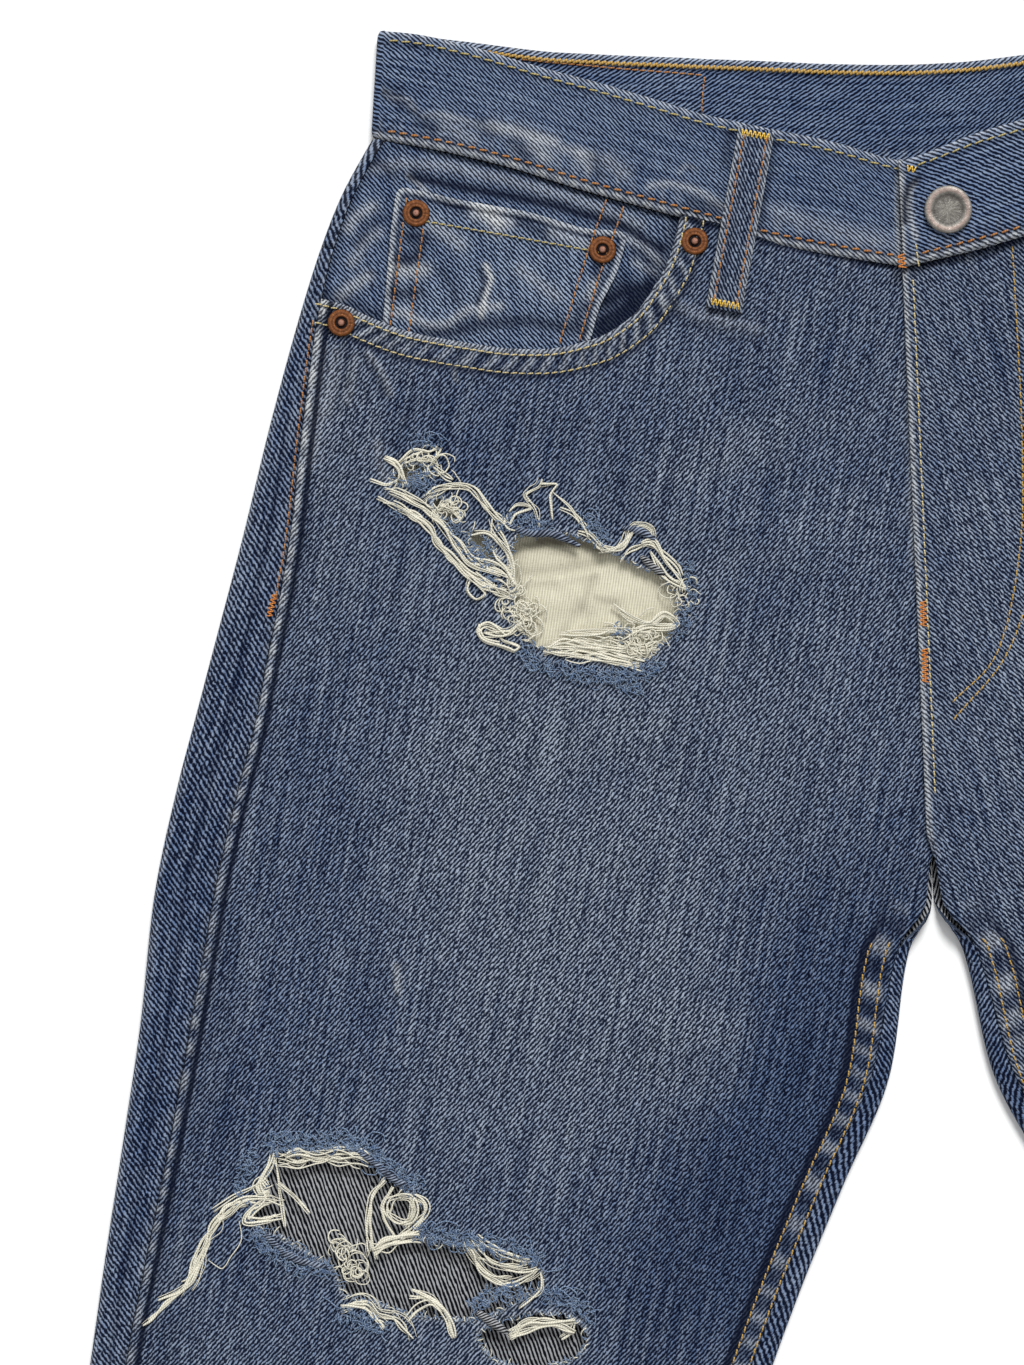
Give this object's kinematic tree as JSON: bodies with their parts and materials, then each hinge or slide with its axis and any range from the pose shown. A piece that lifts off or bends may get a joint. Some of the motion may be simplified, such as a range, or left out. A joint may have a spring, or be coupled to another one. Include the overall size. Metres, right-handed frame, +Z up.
{
  "type": "ripped jeans laid flat",
  "caption": "Worn blue five-pocket denim jeans laid flat and face up, with a hole over the pocket bag and a frayed hole at mid thigh.",
  "frame": {"origin": "on the surface that the garment lies on, under the middle of its box", "axes": "+Y towards the waist along the garment's length, +Z up out of the front, +X to the wearer's left"},
  "size_m": [0.895, 1.0992, 0.014],
  "materials": {
    "denim": "worn mid-blue right-hand twill with faded thighs",
    "denim_dark": "less worn denim inside the pocket opening",
    "pocketing": "cream cotton twill",
    "copper": "aged copper",
    "steel": "dull nickel plate",
    "thread": "undyed cotton weft"
  },
  "bodies": {
    "root": {"front_right": "denim", "front_left": "denim", "back_right": "denim", "back_left": "denim", "yoke_right": "denim", "yoke_left": "denim", "waistband": "denim", "pocket_facing_right": "denim_dark", "pocket_facing_left": "denim_dark", "coin_pocket": "denim", "pocket_bag_right": "pocketing", "back_pocket_right": "denim", "back_pocket_left": "denim", "belt_loop_front_right": "denim", "belt_loop_front_left": "denim", "belt_loop_back_right": "denim", "belt_loop_back_left": "denim", "belt_loop_back": "denim", "rivet_coin_outer": "copper", "rivet_coin_inner": "copper", "rivet_waist_right": "copper", "rivet_side_right": "copper", "rivet_waist_left": "copper", "rivet_side_left": "copper", "button": "steel", "fray_upper": "thread", "fray_lower": "thread", "fray_low_middle": "thread"}
  },
  "joints": []
}
